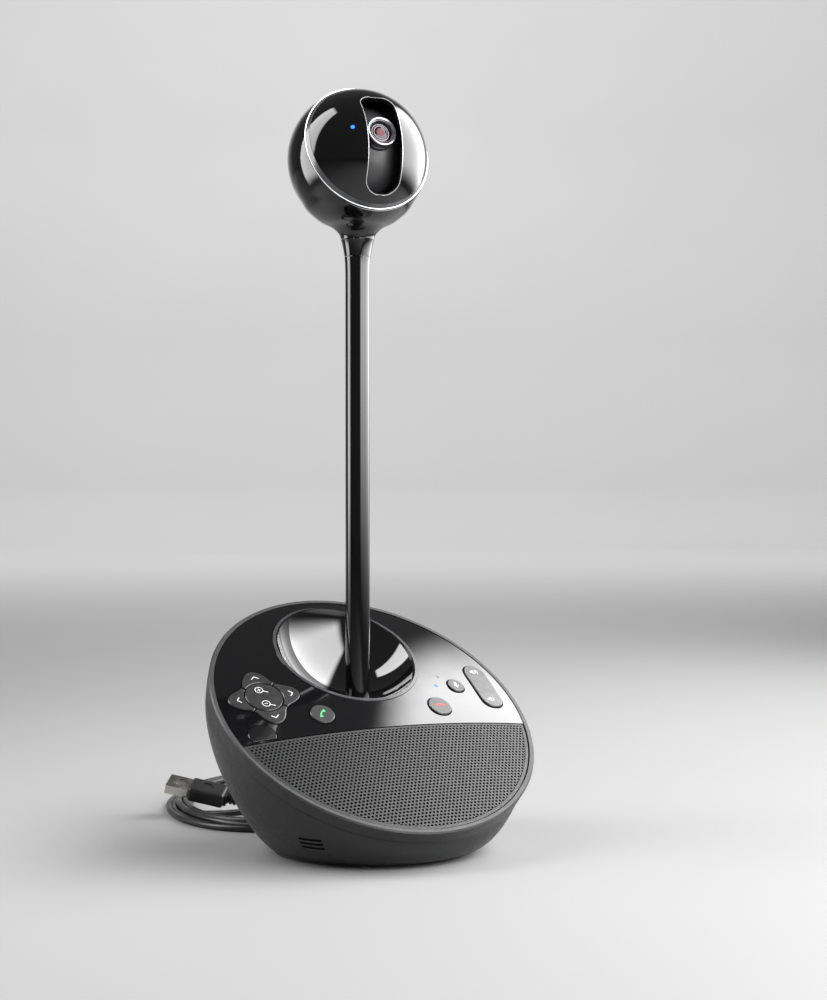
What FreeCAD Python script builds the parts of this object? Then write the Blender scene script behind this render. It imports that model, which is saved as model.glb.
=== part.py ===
import FreeCAD, Part
import math
import os

# Desktop conference camera: a tilted round speaker base with a docking bowl,
# an upright pole plugged into the bowl, and a ball head that pans on the pole
# while its lens tilts behind a slot. Millimetres, +Z up, front of the deck
# towards -Y. The origin is the centre of the foot, on the surface it stands on.

V = FreeCAD.Vector
os.makedirs("parts", exist_ok=True)

# ---------------------------------------------------------------- dimensions
DECK_TILT = 36.75            # slope of the round top, degrees
DECK_Y, DECK_Z = -1.8, 63.0  # where the deck's own centre sits
R_PANEL = 74.5               # edge of the slightly domed top panel
DOME_H = 5.27                # how far the panel bulges at its middle
R_RIM = 77.0                 # outside of the rim band
RIM_H = 6.4                  # depth of the rim band
R_SEAM = 75.8                # housing radius at the seam under the rim
R_FOOT = 45.0                # housing radius at the foot
FOOT_Z = 1.2                 # thickness of the rubber foot
WALL = 2.4                   # housing wall
PANEL_T = 2.2
GRILLE_V = -16.2             # straight edge between panel and grille
BOWL_V = 34.97               # bowl centre, measured up the deck
R_BOWL_RING = 34.9
R_BOWL = 38.0                # inside radius of the spherical docking bowl
POLE_Y = 13.17               # pole and ball axis
BOWL_Z = 101.4
R_POLE = 5.6
POLE_BOT = 38.0
SEAM2_Z = 268.8              # pole top, where the camera unit plugs in
SEAM1_Z = 276.5              # pan seam between collar and head
BALL_Z = 313.0
R_BALL = 32.0
BALL_T = 2.2
HEAD_PAN = -5.5              # where the head is left pointing
DOME_EL = 19.4               # front dome axis above the horizon
SEAM_D = 11.2                # chrome line, ahead of the ball centre
SLOT_W = 8.2                 # half width of the lens slot
SLOT_LO, SLOT_HI = -36.5, 53.0
CORD_D = 3.2
KEY_GAP = 0.5
KEY_RISE = 0.8

sT, cT = math.sin(math.radians(DECK_TILT)), math.cos(math.radians(DECK_TILT))
R_DOME = (R_PANEL ** 2 + DOME_H ** 2) / (2 * DOME_H)
DOME_C = DOME_H - R_DOME
DECK = FreeCAD.Placement(V(0, DECK_Y, DECK_Z), FreeCAD.Rotation(V(1, 0, 0), DECK_TILT))
HEAD = FreeCAD.Placement(V(0, POLE_Y, BALL_Z), FreeCAD.Rotation(V(0, 0, 1), HEAD_PAN))
AIM = FreeCAD.Placement(V(0, 0, 0), FreeCAD.Rotation(V(1, 0, 0), 90 - DOME_EL))

made = {}


def put(shape, placement):
    s = shape.copy()
    s.transformShape(placement.toMatrix())
    return s


def save(name, shape):
    if not isinstance(shape, (list, tuple)):
        sol = shape.Solids
    else:
        sol = [q for s in shape for q in s.Solids]
    sol = [q for q in sol if q.Volume > 0.01]
    out = sol[0] if len(sol) == 1 else Part.makeCompound(sol)
    out.exportStep("parts/%s.step" % name)
    made[name] = out
    b = out.BoundBox
    print("%-20s solids %2d valid %s vol %9.1f  x %.1f..%.1f y %.1f..%.1f z %.1f..%.1f" % (
        name, len(sol), out.isValid(), out.Volume, b.XMin, b.XMax, b.YMin, b.YMax, b.ZMin, b.ZMax))


def cyl(r, h, p=(0, 0, 0), d=(0, 0, 1)):
    return Part.makeCylinder(r, h, V(*p), V(*d))


def box(x0, y0, z0, x1, y1, z1):
    return Part.makeBox(x1 - x0, y1 - y0, z1 - z0, V(x0, y0, z0))


def ring(r1, r2, z0, z1, c=(0, 0)):
    return cyl(r2, z1 - z0, (c[0], c[1], z0)).cut(cyl(r1, z1 - z0 + 2, (c[0], c[1], z0 - 1)))


def lathe(pts, smooth=None):
    """Revolve a closed (r, z) outline about Z. smooth = slice of points joined by one curve."""
    edges = []
    n = len(pts)
    P = [V(r, 0, z) for r, z in pts]
    i = 0
    while i < n:
        if smooth and i == smooth[0]:
            c = Part.BSplineCurve()
            c.interpolate(P[smooth[0]:smooth[1] + 1])
            edges.append(c.toShape())
            i = smooth[1]
            if i == n - 1:
                edges.append(Part.LineSegment(P[i], P[0]).toShape())
                break
            continue
        edges.append(Part.LineSegment(P[i], P[(i + 1) % n]).toShape())
        i += 1
    w = Part.Wire(Part.__sortEdges__(edges))
    return Part.Face(w).revolve(V(0, 0, 0), V(0, 0, 1), 360)


def closed_curve(pts):
    c = Part.BSplineCurve()
    c.interpolate(Points=pts, PeriodicFlag=True)
    return Part.Wire([c.toShape()])


def prism(wire, z0, z1):
    f = Part.Face(wire)
    f.translate(V(0, 0, z0))
    return f.extrude(V(0, 0, z1 - z0))


def dome_ball(dr):
    s = Part.makeSphere(R_DOME + dr)
    s.rotate(V(0, 0, 0), V(0, 1, 0), 90)
    s.translate(V(0, 0, DOME_C))
    return s


def dome_w(x, v):
    return DOME_C + math.sqrt(R_DOME ** 2 - x * x - v * v)


# ------------------------------------------------------------------- housing
def wall_section(s, inset):
    """One ring of the housing: an ellipse swept from the foot to the seam."""
    n = (0.0, -sT, cT)
    b0, b1, b2, b3 = (1 - s) ** 3, 3 * (1 - s) ** 2 * s, 3 * (1 - s) * s * s, s ** 3
    cz, cy = 0.0, 0.0
    ax = by = bz = 0.0
    # foot, first handle, second handle, seam: centre, cos part, sin part
    rows = [
        (b0, (0, FOOT_Z), R_FOOT, (R_FOOT, 0.0)),
        (b1, (0, FOOT_Z + 5.3), R_FOOT + 13.2, (R_FOOT + 13.2, 4.2)),
        (b2, (DECK_Y + (RIM_H + 0.6) * sT + 18.0 * sT, DECK_Z - (RIM_H + 0.6) * cT - 18.0 * cT), R_SEAM,
         (R_SEAM * cT + 13.0 * sT, R_SEAM * sT - 13.0 * cT)),
        (b3, (DECK_Y + (RIM_H + 0.6) * sT, DECK_Z - (RIM_H + 0.6) * cT), R_SEAM, (R_SEAM * cT, R_SEAM * sT)),
    ]
    for b, (yy, zz), a, (sy, sz) in rows:
        cy += b * yy
        cz += b * zz
        ax += b * a
        by += b * sy
        bz += b * sz
    L = math.hypot(by, bz)
    ax -= inset
    by, bz = by * (L - inset) / L, bz * (L - inset) / L
    pts = []
    for k in range(32):
        t = 2 * math.pi * k / 32
        pts.append(V(ax * math.cos(t), cy + by * math.sin(t), cz + bz * math.sin(t)))
    return closed_curve(pts)


S_OUT = [0.0, 0.08, 0.18, 0.30, 0.44, 0.58, 0.72, 0.86, 1.0]
S_IN = [-0.03, 0.08, 0.18, 0.30, 0.44, 0.58, 0.72, 0.86, 1.03]
outer = Part.makeLoft([wall_section(s, 0.0) for s in S_OUT], True, False)
inner = Part.makeLoft([wall_section(s, WALL) for s in S_IN], True, False)
housing = outer.cut(inner)

SCREW_R = 33.0
SCREW_A = [40, 140, 220, 320]
posts = None
for a in SCREW_A:
    c = V(SCREW_R * math.cos(math.radians(a)), SCREW_R * math.sin(math.radians(a)), 0)
    p = cyl(3.0, 9.0, (c.x, c.y, 4.2))
    rib = box(SCREW_R, -1.0, 4.2, SCREW_R + 16.0, 1.0, 11.0)
    rib.rotate(V(0, 0, 0), V(0, 0, 1), a)
    p = p.fuse(rib)
    posts = p if posts is None else posts.fuse(p)
posts = posts.common(outer)
for a in SCREW_A:
    c = V(SCREW_R * math.cos(math.radians(a)), SCREW_R * math.sin(math.radians(a)), 0)
    posts = posts.cut(cyl(1.5, 12, (c.x, c.y, 3.0)))
housing = housing.fuse(posts)

# microphone vent: three slits low on the front left flank
VENT_A, VENT_R, VENT_Z, VENT_LEAN = 214.3, 59.3, 12.4, 38.0
vent_pl = FreeCAD.Placement(
    V(VENT_R * math.cos(math.radians(VENT_A)), VENT_R * math.sin(math.radians(VENT_A)), VENT_Z),
    FreeCAD.Rotation(V(0, 0, 1), VENT_A).multiply(FreeCAD.Rotation(V(0, 1, 0), VENT_LEAN)))
slits = None
for k in (-1, 0, 1):
    b = box(-9, -5.6, k * 2.5 - 0.65, 12, 5.6, k * 2.5 + 0.65)
    slits = b if slits is None else slits.fuse(b)
housing = housing.cut(put(slits, vent_pl))

# cord outlet at the back
EXIT_A, EXIT_Z = 90.0, 12.0
ex = (math.cos(math.radians(EXIT_A)), math.sin(math.radians(EXIT_A)))
housing = housing.cut(cyl(3.4, 40, (30 * ex[0], 30 * ex[1], EXIT_Z), (ex[0], ex[1], 0)))
save("housing", housing)

# ---------------------------------------------------- foot, plate and ballast
save("foot_pad", Part.makeCylinder(44.5, FOOT_Z - 0.05))
R_PLATE = 42.0
plate = cyl(R_PLATE, 2.6, (0, 0, FOOT_Z))
screws = []
for a in SCREW_A:
    c = (SCREW_R * math.cos(math.radians(a)), SCREW_R * math.sin(math.radians(a)))
    plate = plate.cut(cyl(1.7, 6, (c[0], c[1], 0))).cut(cyl(3.0, 1.6, (c[0], c[1], FOOT_Z - 0.1)))
    s = cyl(1.45, 9.2, (c[0], c[1], 2.6)).fuse(cyl(2.8, 1.3, (c[0], c[1], FOOT_Z + 0.1)))
    s = s.cut(cyl(1.1, 0.9, (c[0], c[1], FOOT_Z)))
    screws.append(s)
save("base_plate", plate)
save("base_screws", screws)
save("ballast", cyl(29.0, 5.0, (0, 0, 3.9)))

# ------------------------------------------------------------------ rim ring
rim = lathe([(74.75, 0.25), (76.35, 0.25), (R_RIM, -0.4), (76.3, -RIM_H), (72.6, -RIM_H), (72.6, -9.0),
             (71.4, -9.0), (71.4, -4.2), (72.2, -2.5), (74.75, -2.5)])
save("rim_ring", put(rim, DECK))

# ----------------------------------------------------------------- top panel
panel = cyl(R_PANEL, 30, (0, 0, -15)).cut(box(-90, -90, -20, 90, GRILLE_V, 20))
panel = panel.cut(cyl(R_BOWL_RING + 0.1, 40, (0, BOWL_V, -20)))

# key outlines on the deck
PAD = (-52.5, 9.8)
OVAL = (PAD[0] - 0.1, PAD[1], 8.4, 8.8)
ANSWER = (-30.4, -5.1, 5.6)
END = (30.6, -5.4, 5.7)
MUTE = (46.7, 8.4, 4.3)
VOL = (62.6, 8.5, 5.8, 14.6)
PRESET = (-62.0, -12.3, 6.2)


def clover(off):
    pts = []
    for k in range(48):
        t = 2 * math.pi * k / 48
        r = 11.2 + 5.7 * ((1 + math.cos(4 * t)) / 2) ** 1.15 + off
        pts.append(V(PAD[0] + r * math.cos(t), PAD[1] + r * math.sin(t), 0))
    return closed_curve(pts)


def oval(off):
    e = Part.Ellipse(V(OVAL[0], OVAL[1] + OVAL[3] + off, 0), V(OVAL[0] + OVAL[2] + off, OVAL[1], 0), V(OVAL[0], OVAL[1], 0))
    return Part.Wire([e.toShape()])


def pill(off, z0, z1):
    x, v, hw, hl = VOL
    r = hw + off
    h = hl - hw
    w = Part.Wire([Part.LineSegment(V(x + r, v - h, 0), V(x + r, v + h, 0)).toShape(),
                   Part.Arc(V(x + r, v + h, 0), V(x, v + h + r, 0), V(x - r, v + h, 0)).toShape(),
                   Part.LineSegment(V(x - r, v + h, 0), V(x - r, v - h, 0)).toShape(),
                   Part.Arc(V(x - r, v - h, 0), V(x, v - h - r, 0), V(x + r, v - h, 0)).toShape()])
    return prism(w, z0, z1)


def leaf(off, z0, z1):
    s = cyl(PRESET[2] + off, z1 - z0, (PRESET[0], PRESET[1], z0))
    return s.cut(box(-90, -90, z0 - 1, -40, -15.2 - off, z1 + 1))


K0, K1 = -3.6, 8.0
for h in (prism(clover(KEY_GAP), -20, 20), cyl(ANSWER[2] + KEY_GAP, 40, (ANSWER[0], ANSWER[1], -20)),
          cyl(END[2] + KEY_GAP, 40, (END[0], END[1], -20)), cyl(MUTE[2] + KEY_GAP, 40, (MUTE[0], MUTE[1], -20)),
          pill(KEY_GAP, -20, 20), leaf(0.35, -20, 20),
          cyl(1.0, 40, (35.9, 8.7, -20)), cyl(0.8, 40, (40.2, 15.0, -20))):
    panel = panel.cut(h)
panel = panel.common(dome_ball(0)).cut(dome_ball(-PANEL_T))
save("top_panel", put(panel, DECK))


def key(blank, rise, stems, chamf=0.35, pivot=None):
    body = blank.common(dome_ball(rise))
    top = [e for e in body.Edges if e.BoundBox.ZMin > K0 + 1.5]
    try:
        c = body.makeChamfer(chamf, top)
        if c.isValid() and c.Volume > 0.8 * body.Volume:
            body = c
    except Exception:
        print("  plain top edge kept")
    for x, v in stems:
        body = body.fuse(cyl(1.5, 1.0, (x, v, K0 - 0.5)))
    if pivot:
        body = body.fuse(cyl(1.2, 8.0, (pivot[0] - 4.0, pivot[1], K0), (1, 0, 0)))
    return put(body, DECK)


def slab(x0, v0, x1, v1):
    return box(x0, v0, K0 - 1, x1, v1, K1 + 1)


petals = prism(clover(0), K0, K1).cut(prism(oval(KEY_GAP), K0 - 1, K1 + 1))
for a in (45, -45):
    g = box(-40, -0.3, K0 - 1, 40, 0.3, K1 + 1)
    g.rotate(V(0, 0, 0), V(0, 0, 1), a)
    g.translate(V(PAD[0], PAD[1], 0))
    petals = petals.cut(g)
tops = {}
for q in petals.Solids:
    dx, dv = q.CenterOfMass.x - PAD[0], q.CenterOfMass.y - PAD[1]
    n = ("key_right" if dx > 0 else "key_left") if abs(dx) > abs(dv) else ("key_up" if dv > 0 else "key_down")
    tops[n] = q
SW = {"key_up": (-52.5, 22.3), "key_down": (-52.5, -2.9), "key_left": (-64.9, 9.8), "key_right": (-40.1, 9.8),
      "key_answer": ANSWER[:2], "key_end": END[:2], "key_mute": MUTE[:2], "key_preset": (-62.0, -10.8)}
for n in ("key_up", "key_down", "key_left", "key_right"):
    save(n, key(tops[n], KEY_RISE, [SW[n]]))
zoom_blank = prism(oval(0), K0, K1)
save("key_zoom", key(zoom_blank, KEY_RISE, [(OVAL[0], OVAL[1] + 5.2), (OVAL[0], OVAL[1] - 5.2)], pivot=OVAL[:2]))
save("key_answer", key(cyl(ANSWER[2], K1 - K0, (ANSWER[0], ANSWER[1], K0)), KEY_RISE, [SW["key_answer"]]))
save("key_end", key(cyl(END[2], K1 - K0, (END[0], END[1], K0)), KEY_RISE, [SW["key_end"]]))
save("key_mute", key(cyl(MUTE[2], K1 - K0, (MUTE[0], MUTE[1], K0)), KEY_RISE, [SW["key_mute"]]))
save("key_volume", key(pill(0, K0, K1), KEY_RISE, [(VOL[0], VOL[1] + 9), (VOL[0], VOL[1] - 9)], pivot=VOL[:2]))
save("key_preset", key(leaf(0, K0, K1), 0.35, [SW["key_preset"]], 0.25))

# ------------------------------------------------------- bowl and bowl ring
bowl_ring = ring(33.4, R_BOWL_RING, -3, 12, (0, BOWL_V)).common(dome_ball(0.45)).cut(dome_ball(-PANEL_T))
save("bowl_ring", put(bowl_ring, DECK))
bc = V(0, POLE_Y, BOWL_Z)
bowl = Part.makeSphere(R_BOWL + 2.0, bc).cut(Part.makeSphere(R_BOWL, bc))
bowl = bowl.common(put(cyl(33.3, 70, (0, BOWL_V, -40)), DECK))
bowl = bowl.cut(put(box(-90, -90, 2.4, 90, 90, 140), DECK))
bowl = bowl.cut(cyl(5.7, 60, (0, POLE_Y, 30)))
save("bowl", bowl)
sock = cyl(8.6, 24.6, (0, POLE_Y, 36.6)).fuse(cyl(13.0, 2.0, (0, POLE_Y, 36.6)))
sock = sock.cut(cyl(R_POLE + 0.06, 24, (0, POLE_Y, 37.8))).cut(cyl(3.0, 4, (0, POLE_Y, 36)))
save("dock_socket", sock)
save("dock_contacts", [cyl(0.6, 3.0, (1.5 * i, POLE_Y, 34.7)) for i in (-1, 0, 1)])

# ------------------------------------------------------------ grille, speaker
grille = cyl(74.3, 30, (0, 0, -15)).common(dome_ball(-0.25)).cut(dome_ball(-1.15))
grille = grille.common(box(-90, -90, -20, 90, GRILLE_V - 0.3, 20))
save("speaker_grille", put(grille, DECK))
cloth = cyl(71.0, 30, (0, 0, -15)).common(dome_ball(-1.5)).cut(dome_ball(-2.1))
save("speaker_cloth", put(cloth.common(box(-90, -90, -20, 90, GRILLE_V - 1.5, 20)), DECK))
SPK = -44.0
basket = lathe([(22.5, -5.0), (22.5, -7.0), (20.4, -7.0), (13.0, -14.5), (13.0, -16.0), (6.2, -16.0), (6.2, -14.8),
                (11.6, -14.0), (19.0, -6.2), (19.0, -5.0)])
basket.translate(V(0, SPK, 0))
save("speaker_basket", put(basket, DECK))
cone = lathe([(0, -9.0), (5.5, -10.4), (8.0, -9.6), (17.6, -5.3), (18.7, -5.3), (18.7, -5.7), (17.6, -5.7), (8.2, -10.1),
              (5.6, -10.9), (0, -9.5)])
cone.translate(V(0, SPK, 0))
save("speaker_cone", put(cone, DECK))
mag = cyl(12.5, 5.6, (0, SPK, -21.8))
save("speaker_magnet", put(mag, DECK))

# ------------------------------------------------------------ board, switches
board = cyl(68, 1.6, (0, 0, -10.0)).cut(box(-90, -90, -12, 90, -17.5, -6)).cut(cyl(35.0, 10, (0, BOWL_V, -14)))
board = board.cut(box(-30, 30, -12, 30, 90, -6))
save("main_board", put(board, DECK))
sw = []
for n in ("key_up", "key_down", "key_left", "key_right", "key_answer", "key_end", "key_mute", "key_preset"):
    x, v = SW[n]
    sw.append(box(x - 2.6, v - 2.6, -8.4, x + 2.6, v + 2.6, -5.9).fuse(cyl(1.6, 0.7, (x, v, -5.9))))
for x, v in ((OVAL[0], OVAL[1] + 5.2), (OVAL[0], OVAL[1] - 5.2), (VOL[0], VOL[1] + 9), (VOL[0], VOL[1] - 9)):
    sw.append(box(x - 2.4, v - 2.0, -8.4, x + 2.4, v + 2.0, -6.2).fuse(cyl(1.4, 0.9, (x, v, -6.2))))
save("key_switches", [put(s, DECK) for s in sw])
lights = []
for x, v, r in ((35.9, 8.7, 0.95), (40.2, 15.0, 0.75)):
    lights.append(put(cyl(r, 18, (x, v, -8.4)).common(dome_ball(0.05)), DECK))
save("deck_lights", lights)
mic = cyl(4.2, 3.0, (-7.0, 0, 0), (1, 0, 0))
save("mic_capsule", put(mic, FreeCAD.Placement(vent_pl.Base + vent_pl.Rotation.multVec(V(-3.5, 0, 1.5)), vent_pl.Rotation)))

# ------------------------------------------------------------------ the pole
pole = lathe([(3.2, POLE_BOT), (R_POLE, POLE_BOT), (R_POLE, 255.0), (R_POLE + 0.04, 262.8), (5.78, 266.2),
              (6.0, SEAM2_Z - 0.15), (4.06, SEAM2_Z - 0.15), (4.06, 250.0), (3.2, 249.0)], (2, 5))
pole.translate(V(0, POLE_Y, 0))
save("stand_tube", pole)
save("stand_wiring", cyl(1.6, 200, (0, POLE_Y, 42.0)))
plug_lo = cyl(3.15, 6.0, (0, POLE_Y, 38.0)).cut(cyl(1.7, 3, (0, POLE_Y, 41.5)))
save("stand_plug", plug_lo)
save("stand_socket", cyl(3.15, 6.0, (0, POLE_Y, 242.5)))

# ------------------------------------------------------------- camera collar
collar = lathe([(0, 251.0), (4.0, 251.0), (4.0, SEAM2_Z - 0.15), (4.0, SEAM2_Z + 0.15), (6.02, SEAM2_Z + 0.15), (6.5, 272.0),
                (7.05, 274.6), (7.65, SEAM1_Z), (3.0, SEAM1_Z), (0, SEAM1_Z)], (4, 7))
collar.translate(V(0, POLE_Y, 0))
save("neck_collar", collar)
shaft = cyl(3.0, 11.4, (0, POLE_Y, SEAM1_Z + 0.05))
shaft = shaft.cut(ring(2.4, 4.0, 286.9, 287.5, (0, POLE_Y)))
save("pan_shaft", shaft)
save("pan_clip", ring(2.45, 4.8, 286.95, 287.45, (0, POLE_Y)))

# ---------------------------------------------------------------------- head
# built round the ball centre, facing -Y
sk = [(26.2, -18.37), (24.1, -21.9), (20.2, -25.9), (15.6, -29.1), (11.6, -31.0), (8.75, -33.6), (7.7, -36.2)]
SP = [V(r, 0, z) for r, z in sk]
c_sk = Part.BSplineCurve()
t_in = V(-18.37, 0, -26.2)
t_in.normalize()
c_sk.interpolate(Points=SP, InitialTangent=t_in * 1.0, FinalTangent=V(-0.12, 0, -1.0))
RI = R_BALL - BALL_T
zi = -math.sqrt(RI ** 2 - 9.6 ** 2)
prof = [Part.Arc(V(0, 0, R_BALL), V(R_BALL, 0, 0), SP[0]).toShape(), c_sk.toShape(),
        Part.makeLine(SP[-1], V(5.9, 0, -36.2)), Part.makeLine(V(5.9, 0, -36.2), V(5.9, 0, -32.2)),
        Part.makeLine(V(5.9, 0, -32.2), V(9.6, 0, -30.2)), Part.makeLine(V(9.6, 0, -30.2), V(9.6, 0, zi)),
        Part.Arc(V(9.6, 0, zi), V(RI, 0, 0), V(0, 0, RI)).toShape(), Part.makeLine(V(0, 0, RI), V(0, 0, R_BALL))]
shell = Part.Face(Part.Wire(Part.__sortEdges__(prof))).revolve(V(0, 0, 0), V(0, 0, 1), 360)
front_half = put(box(-60, -60, SEAM_D - 0.3, 60, 60, 60), AIM)
rear = shell.cut(front_half)
save("rear_shell", put(rear, HEAD))

ring_sphere = Part.makeSphere(R_BALL).cut(Part.makeSphere(R_BALL - BALL_T))
chrome = ring(28.0, math.sqrt(R_BALL ** 2 - SEAM_D ** 2) + 0.28, SEAM_D - 0.27, SEAM_D + 0.27)
save("seam_ring", put(put(chrome, AIM), HEAD))
bez = ring_sphere.common(box(-40, -40, SEAM_D + 0.3, 40, 40, SEAM_D + 2.5))
save("bezel_band", put(put(bez, AIM), HEAD))
dome = ring_sphere.common(box(-40, -40, SEAM_D + 2.7, 40, 40, 60))
# lens slot: straight flanks, rounded ends, cut towards the ball centre
dome = put(dome, AIM)


def wedge(x, lo, hi, r):
    """Block between two elevations, open towards -Y, from the tilt axis outwards."""
    pts = [V(x, 0, 0)]
    for k in range(9):
        e = math.radians(lo + (hi - lo) * k / 8.0)
        pts.append(V(x, -r * math.cos(e), r * math.sin(e)))
    pts.append(V(x, 0, 0))
    return Part.Face(Part.makePolygon(pts)).extrude(V(-2 * x, 0, 0))


CR_LO, CR_HI = 7.4, 5.0
e_lo = SLOT_LO + math.degrees(CR_LO / R_BALL)
e_hi = SLOT_HI - math.degrees(CR_HI / R_BALL)
slot = wedge(SLOT_W, e_lo, e_hi, 60).fuse(wedge(SLOT_W - CR_LO, SLOT_LO, e_lo + 8, 60))
slot = slot.fuse(wedge(SLOT_W - CR_HI, e_hi - 8, SLOT_HI, 60))
for e, cr in ((e_lo, CR_LO), (e_hi, CR_HI)):
    er = math.radians(e)
    for x in (-(SLOT_W - cr), SLOT_W - cr):
        slot = slot.fuse(cyl(cr, 60, (x, 0, 0), (0, -math.cos(er), math.sin(er))))
slot = slot.cut(Part.makeSphere(20.0))
dome = dome.cut(slot)
LED_AZ, LED_EL = -28.0, 18.2
ld = (math.sin(math.radians(LED_AZ)) * math.cos(math.radians(LED_EL)),
      -math.cos(math.radians(LED_AZ)) * math.cos(math.radians(LED_EL)), math.sin(math.radians(LED_EL)))
dome = dome.cut(cyl(0.95, 20, (25 * ld[0], 25 * ld[1], 25 * ld[2]), ld))
save("front_dome", put(dome, HEAD))
led = cyl(0.9, 8, (24.6 * ld[0], 24.6 * ld[1], 24.6 * ld[2]), ld).common(Part.makeSphere(R_BALL + 0.02))
save("status_light", put(led, HEAD))

# inner frame carrying the tilt axis
ear = box(10.2, -4.5, -4.5, 12.4, 19.0, 4.5)
frame = ear.fuse(box(-12.4, -4.5, -4.5, -10.2, 19.0, 4.5)).fuse(box(-12.4, 16.8, -4.5, 12.4, 19.0, 4.5))
frame = frame.fuse(cyl(3.0, 10.2, (0, 19.0, 0), (0, 1, 0)))
frame = frame.cut(cyl(1.66, 40, (-20, 0, 0), (1, 0, 0)))
save("head_frame", put(frame, HEAD))
tm = cyl(5.6, 8.0, (12.6, 0, 0), (1, 0, 0)).cut(cyl(1.66, 4.0, (12.0, 0, 0), (1, 0, 0)))
save("tilt_motor", put(tm, HEAD))
pm = lathe([(3.06, -35.8), (5.6, -35.8), (5.6, -31.9), (9.2, -29.8), (9.2, -26.6), (3.06, -26.6)])
save("pan_motor", put(pm, HEAD))
brd = box(-11, 20.0, -12.0, 11, 21.2, -5.2).fuse(box(-11, 20.0, 5.2, 11, 21.2, 12.0))
save("head_board", put(brd, HEAD))

# ------------------------------------------------------------ tilting lens
# carriage: a curved shroud on two cheeks with pivot pins
SH_R = 24.0
half = math.radians(79)


def sector(x0, x1, r):
    pts = [V(x0, 0, 0)]
    for k in range(13):
        e = math.radians(DOME_EL) - half + 2 * half * k / 12.0
        rr = 40.0
        pts.append(V(x0, -rr * math.cos(e), rr * math.sin(e)))
    pts.append(V(x0, 0, 0))
    w = Part.Face(Part.makePolygon(pts)).extrude(V(x1 - x0, 0, 0))
    return w.common(cyl(r, x1 - x0, (x0, 0, 0), (1, 0, 0)))


band = Part.makeSphere(SH_R).cut(Part.makeSphere(SH_R - 1.4))
band.rotate(V(0, 0, 0), V(0, 1, 0), 90)
plates = sector(-9.2, 9.2, SH_R - 0.7).cut(cyl(60, 16.0, (-8.0, 0, 0), (1, 0, 0)))
core = Part.makeSphere(SH_R - 0.7)
core.rotate(V(0, 0, 0), V(0, 1, 0), 90)
car = band.common(sector(-13.5, 13.5, 39.0)).fuse(plates.common(core))
for x in (-9.2, 8.0):
    car = car.fuse(cyl(4.6, 1.2, (x, 0, 0), (1, 0, 0)))
car = car.fuse(cyl(1.6, 3.8, (-13.0, 0, 0), (1, 0, 0))).fuse(cyl(1.6, 6.6, (9.1, 0, 0), (1, 0, 0)))
car = car.cut(put(cyl(7.3, 40, (0, 0, 10)), AIM))
save("lens_carriage", put(car, HEAD))
L_FRONT = 28.4
barrel = lathe([(5.6, 17.0), (7.15, 17.0), (7.15, 22.9), (7.15, 24.6), (6.9, 25.0), (6.9, 27.4), (5.6, 27.4)])
save("lens_barrel", put(put(barrel, AIM), HEAD))
bz = lathe([(5.4, 27.45), (6.9, 27.45), (7.05, 27.8), (6.95, 28.2), (6.5, L_FRONT), (6.0, 28.2), (5.7, 27.7)])
save("lens_ring", put(put(bz, AIM), HEAD))
gl = lathe([(0, 25.2), (4.6, 25.2), (4.6, 26.0), (3.6, 26.45), (2.0, 26.85), (0, 27.0)])
save("lens_glass", put(put(gl, AIM), HEAD))
cone2 = lathe([(4.65, 24.2), (5.55, 24.2), (5.55, 27.35), (5.3, 27.35), (4.65, 26.1)])
save("lens_baffle", put(put(cone2, AIM), HEAD))
save("lens_sensor", put(put(box(-6.0, -6.0, 15.2, 6.0, 6.0, 16.9), AIM), HEAD))

# ----------------------------------------------------------------- the cord
G0, G1 = 45.0, 59.5
gl1 = cyl(3.1, G1 - G0, (G0 * ex[0], G0 * ex[1], EXIT_Z), (ex[0], ex[1], 0))
gl2 = cyl(4.2, 1.4, ((G0 + 0.1) * ex[0], (G0 + 0.1) * ex[1], EXIT_Z), (ex[0], ex[1], 0))
for k in range(2):
    gl1 = gl1.cut(put(ring(2.7, 5.0, 0, 0.8), FreeCAD.Placement(
        V(0, G1 - 1.6 - 1.7 * k, EXIT_Z), FreeCAD.Rotation(V(1, 0, 0), -90))))
gl3 = Part.makeCone(3.1, 2.2, 8.0, V(G1 * ex[0], G1 * ex[1], EXIT_Z), V(ex[0], ex[1], 0))
save("cord_gland", gl1.fuse(gl2).fuse(gl3))
EXIT = V((G1 + 8.0) * ex[0], (G1 + 8.0) * ex[1], EXIT_Z)


def cord(name, pts, d):
    """Straight runs joined by tangent arcs, swept with a round section."""
    P = [V(*p) for p in pts]
    segs, L, last = [], 0.0, P[0]
    for i in range(1, len(P) - 1):
        a, b = P[i] - P[i - 1], P[i + 1] - P[i]
        la, lb = a.Length, b.Length
        a.normalize()
        b.normalize()
        turn = a.getAngle(b)
        r = 0.45 * min(la, lb) / math.tan(turn / 2)
        k = 0.45 * min(la, lb)
        s, e = P[i] - a * k, P[i] + b * k
        h = (b - a)
        h.normalize()
        m = P[i] + h * (r / math.cos(turn / 2) - r)
        segs.append(Part.LineSegment(last, s).toShape())
        segs.append(Part.Arc(s, m, e).toShape())
        L += (s - last).Length + r * turn
        last = e
        print("  %s bend %d radius %.1f turn %.1f" % (name, i, r, math.degrees(turn)))
    segs.append(Part.LineSegment(last, P[-1]).toShape())
    L += (P[-1] - last).Length
    w = Part.Wire(segs)
    t0 = P[1] - P[0]
    t0.normalize()
    prof = Part.Wire([Part.Circle(P[0], t0, d / 2).toShape()])
    tube = w.makePipeShell([prof], True, True)
    print("  %s length %.1f volume %.1f expected %.1f" % (name, L, tube.Volume, L * math.pi * d * d / 4))
    return tube, L


# the loose oval coil behind the base
COIL_C = (13.4, 126.3)
COIL_ROT = 31.2              # long way of the oval, from +Y towards +X
COIL_A, COIL_B = 55.0, 83.0
COIL_IN = 16.0
COIL_H = 6.6


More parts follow.
